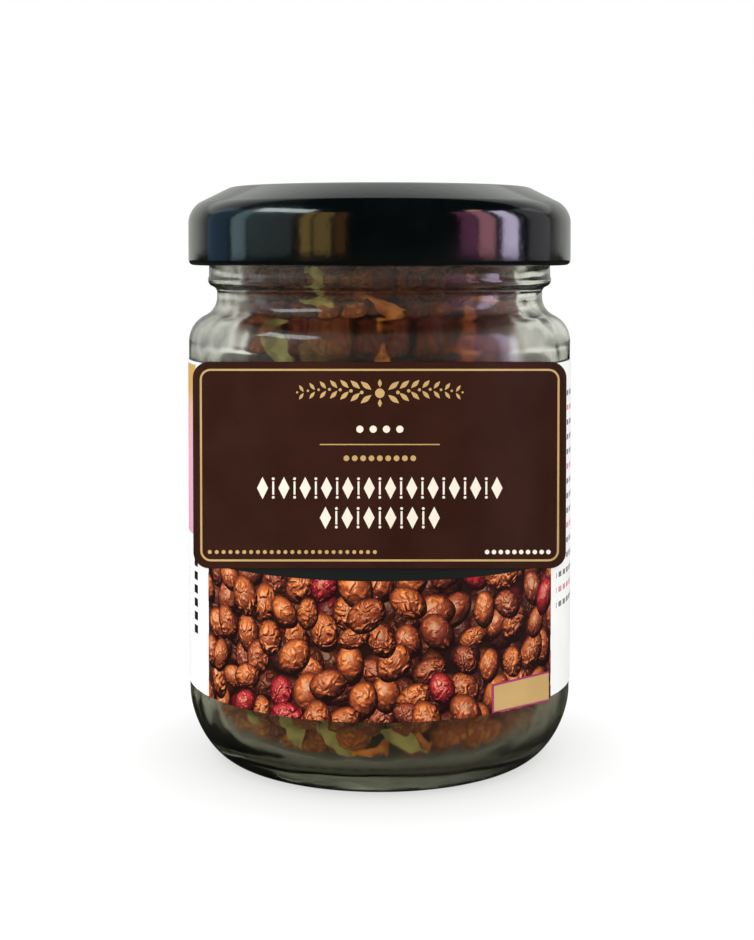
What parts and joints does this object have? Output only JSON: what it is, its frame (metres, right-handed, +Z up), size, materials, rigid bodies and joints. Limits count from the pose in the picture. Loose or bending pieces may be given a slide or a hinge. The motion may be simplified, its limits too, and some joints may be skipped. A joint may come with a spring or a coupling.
{
  "type": "jar of dried berries",
  "caption": "Small round glass jar of dried berries with a quarter-turn metal lid and wrapped paper labels.",
  "frame": {"origin": "centre of the ring that the jar stands on", "axes": "+Z up along the jar's axis, -Y towards the front of the label, +X to the right as the front is seen"},
  "size_m": [0.056, 0.0561, 0.0822],
  "materials": {
    "clear_glass": "clear container glass with a faint grey-green tint",
    "black_lacquer": "glossy black lacquer on tinplate",
    "sealing_compound": "matt off-white compound",
    "printed_paper": "coated label paper with a printed panel",
    "brown_label": "satin dark brown label with gold lines",
    "dried_fruit": "wrinkled dried fruit skin"
  },
  "bodies": {
    "jar": {"jar_glass": "clear_glass", "label_wrap": "printed_paper", "label_front": "brown_label", "dried_berries": "dried_fruit"},
    "seal_ring": {"lid_seal": "sealing_compound"},
    "lid": {"lid_shell": "black_lacquer"}
  },
  "joints": [
    {"name": "lid_rise", "type": "slide", "parent": "jar", "child": "seal_ring", "axis": [0, 0, 1], "range_m": [0, 0.0011]},
    {"name": "lid_turn", "type": "hinge", "parent": "seal_ring", "child": "lid", "pos_m": [0, 0, 0.07095], "axis": [0, 0, 1], "range_deg": [0, 70]}
  ],
  "couplings": [
    {"joint": "lid_rise", "follows": "lid_turn", "m_per_rad": 0.0009}
  ]
}
